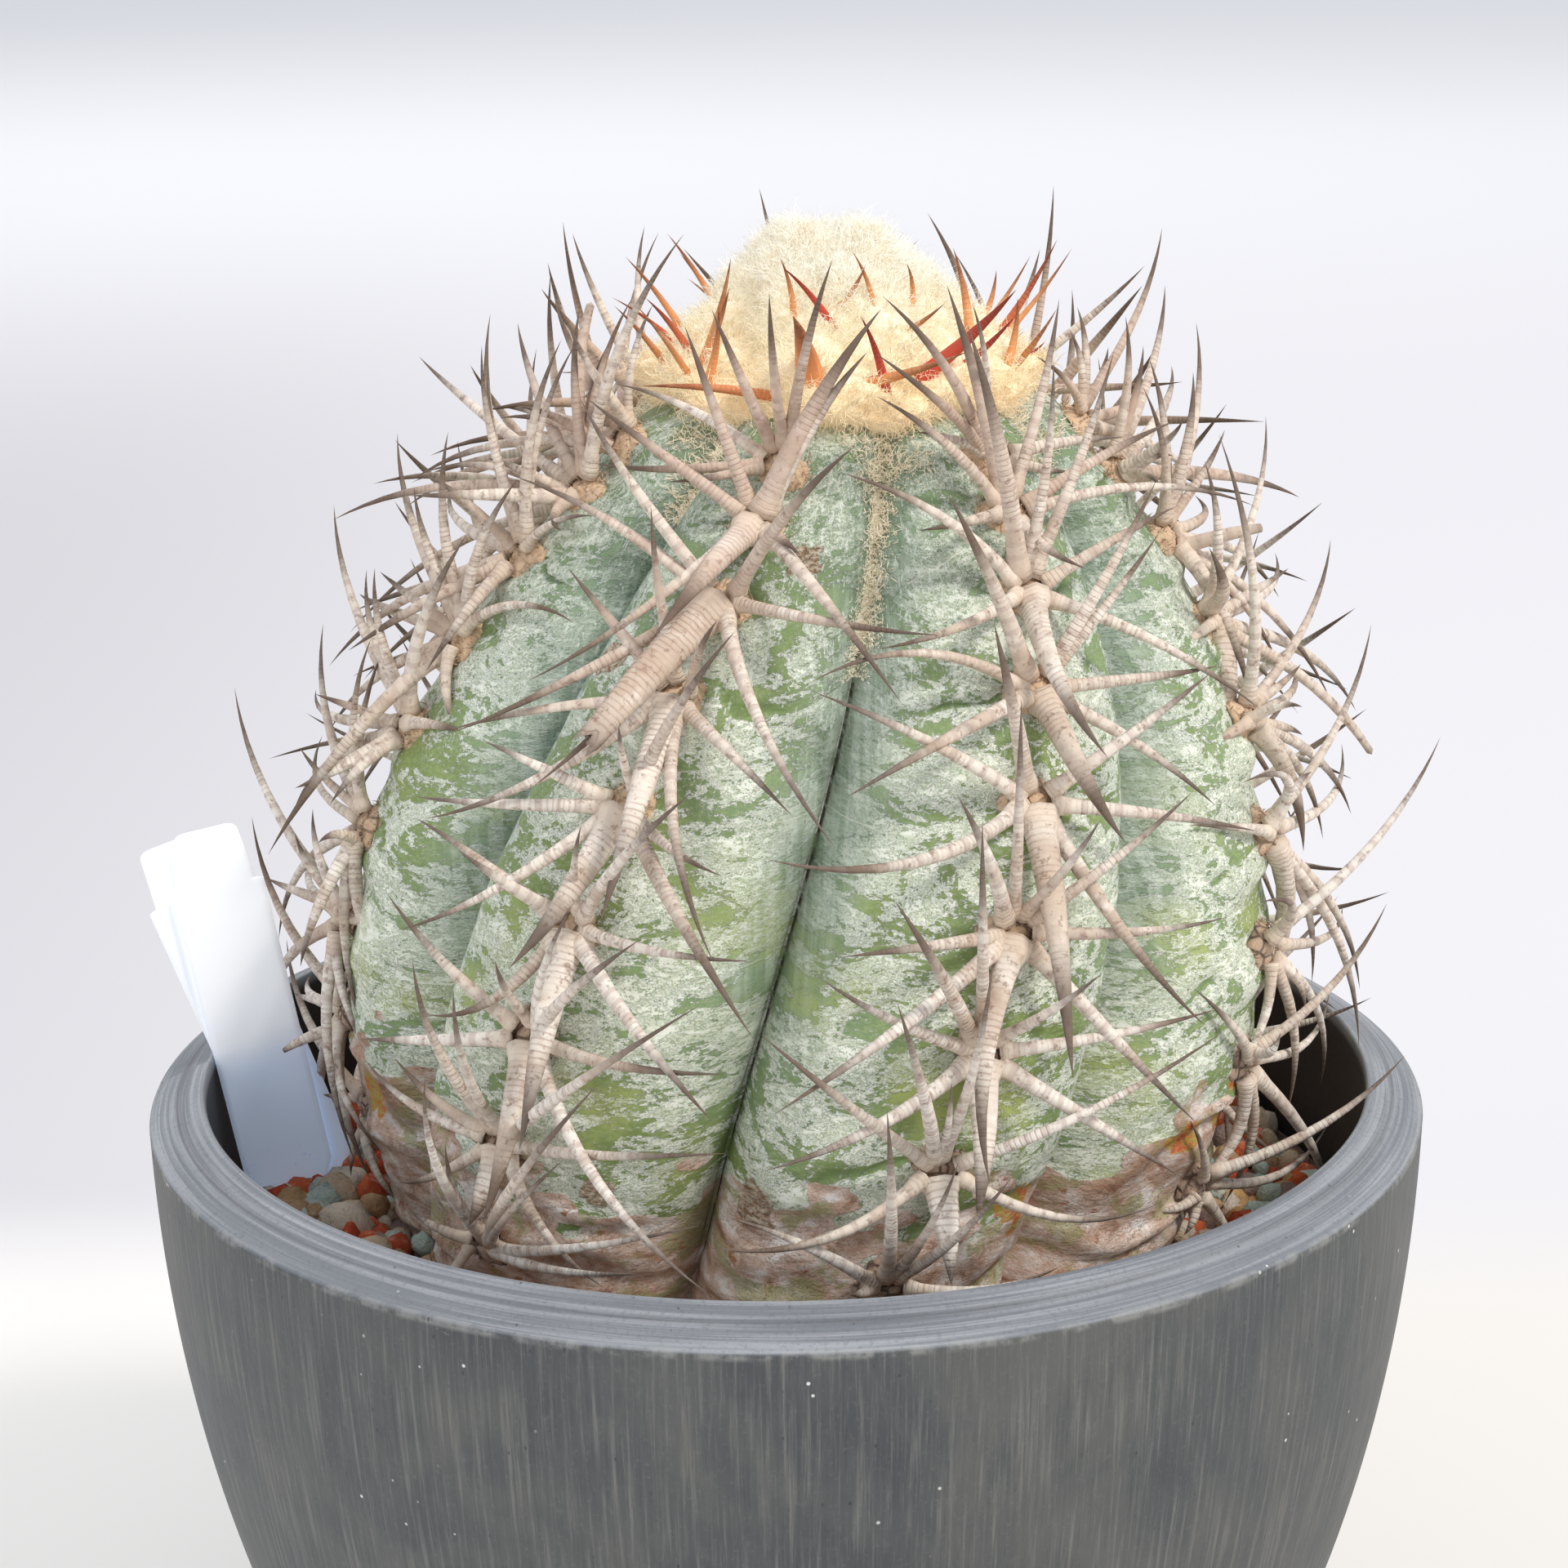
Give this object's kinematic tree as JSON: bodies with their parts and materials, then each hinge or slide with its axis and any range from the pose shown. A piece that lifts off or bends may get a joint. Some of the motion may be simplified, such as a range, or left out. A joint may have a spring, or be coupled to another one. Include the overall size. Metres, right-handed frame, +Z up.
{
  "type": "potted round cactus",
  "caption": "Round ribbed cactus with long ringed spines and a woolly crown, in a bowl-shaped plastic pot with gravel and two blank plant labels.",
  "frame": {"origin": "middle of the pot's flat underside", "axes": "+Z up, -Y towards the viewer of the picture, +X to the viewer's right"},
  "size_m": [0.168, 0.168, 0.2293],
  "materials": {
    "pot_plastic": "dull moulded plastic with scuffs",
    "soil": "loose dark potting mix",
    "gravel": "dry mixed gravel",
    "stem_skin": "waxy green skin with a grey bloom",
    "spines": "dry ringed horn with darker points",
    "wool": "soft dense wool",
    "label_plastic": "smooth thin sheet"
  },
  "bodies": {
    "root": {"pot": "pot_plastic", "potting_soil": "soil", "gravel_top_dressing": "gravel", "cactus_stem": "stem_skin", "spine_row_1": "spines", "spine_row_2": "spines", "spine_row_3": "spines", "spine_row_4": "spines", "spine_row_5": "spines", "spine_row_6": "spines", "spine_row_7": "spines", "crown_wool": "wool", "plant_label_back": "label_plastic", "plant_label_front": "label_plastic"}
  },
  "joints": []
}
